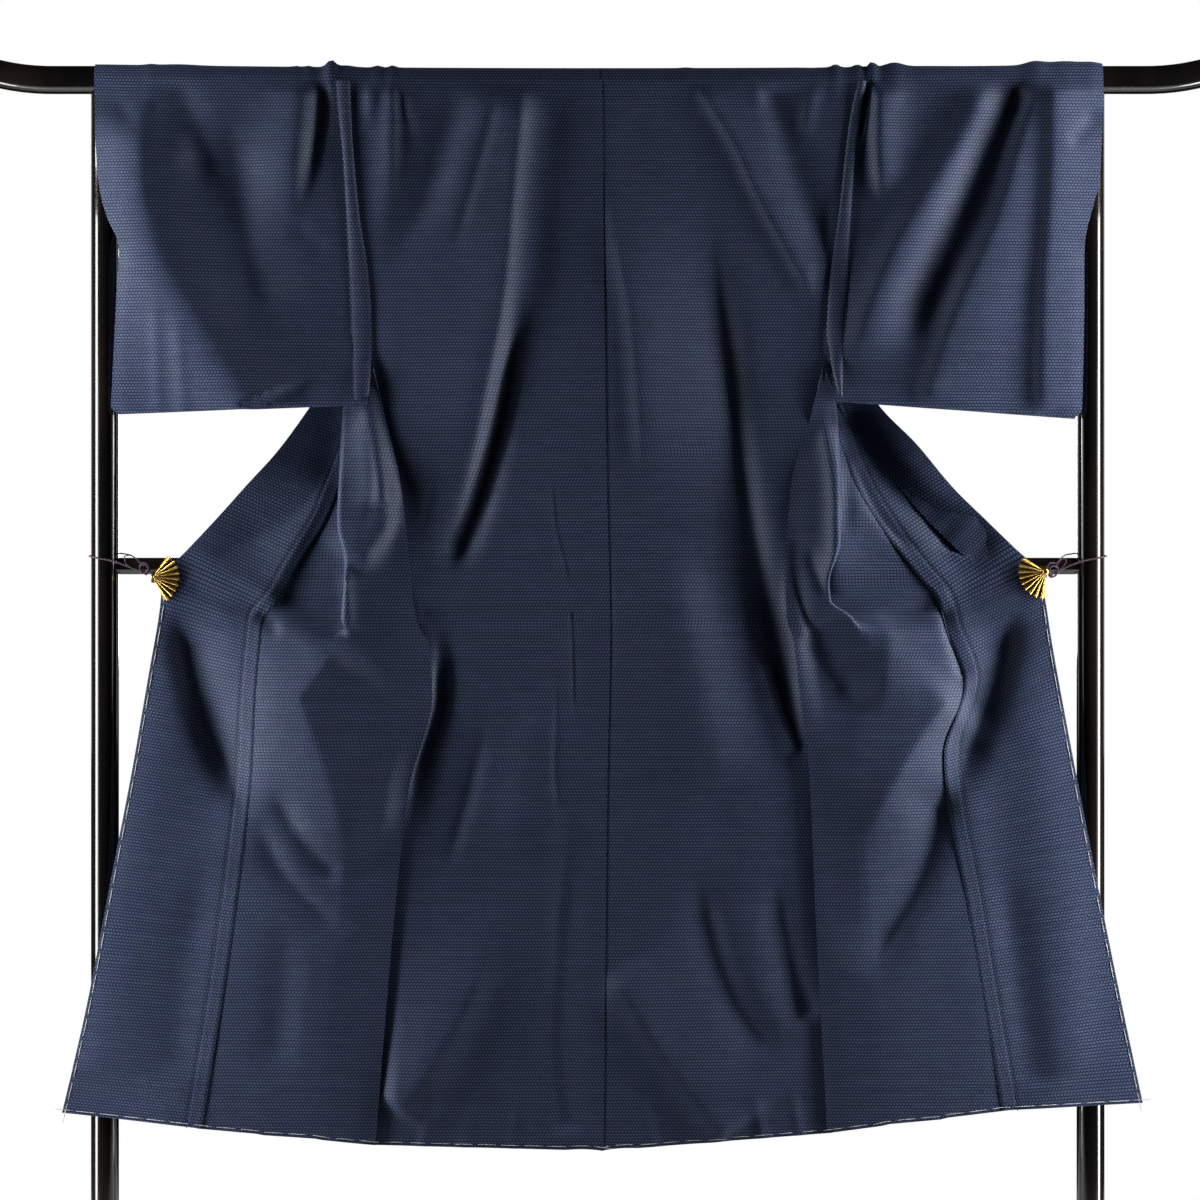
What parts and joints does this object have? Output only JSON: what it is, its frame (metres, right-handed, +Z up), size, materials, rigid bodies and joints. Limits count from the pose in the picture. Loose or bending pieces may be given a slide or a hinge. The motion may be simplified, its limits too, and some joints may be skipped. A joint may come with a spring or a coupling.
{
  "type": "kimono on a kimono stand",
  "caption": "Unlined navy kimono hung by its shoulders over the rail of a black lacquered stand, back to the front, its fronts held open by fan clips.",
  "frame": {"origin": "on the floor, in the middle between the stand's two feet", "axes": "+X along the rail, towards the right as one faces the kimono's back; +Y away from that viewer, towards the kimono's front; +Z up"},
  "size_m": [1.7554, 0.42, 1.6704],
  "materials": {
    "cloth": "navy weave with rows of tiny paler dashes, soft dull sheen",
    "lacquer": "high-gloss black lacquer",
    "gilt": "polished gilt",
    "cord": "thin twisted cord, dark purple"
  },
  "bodies": {
    "root": {"body_left": "cloth", "body_right": "cloth", "okumi_left": "cloth", "okumi_right": "cloth", "sleeve_left": "cloth", "sleeve_right": "cloth", "collar": "cloth", "stand_top_rail": "lacquer", "stand_post_left": "lacquer", "stand_post_right": "lacquer", "stand_cross_rail": "lacquer", "stand_foot_left": "lacquer", "stand_foot_right": "lacquer", "fan_clip_left": "gilt", "fan_clip_right": "gilt", "clip_cord_left": "cord", "clip_cord_right": "cord"}
  },
  "joints": []
}
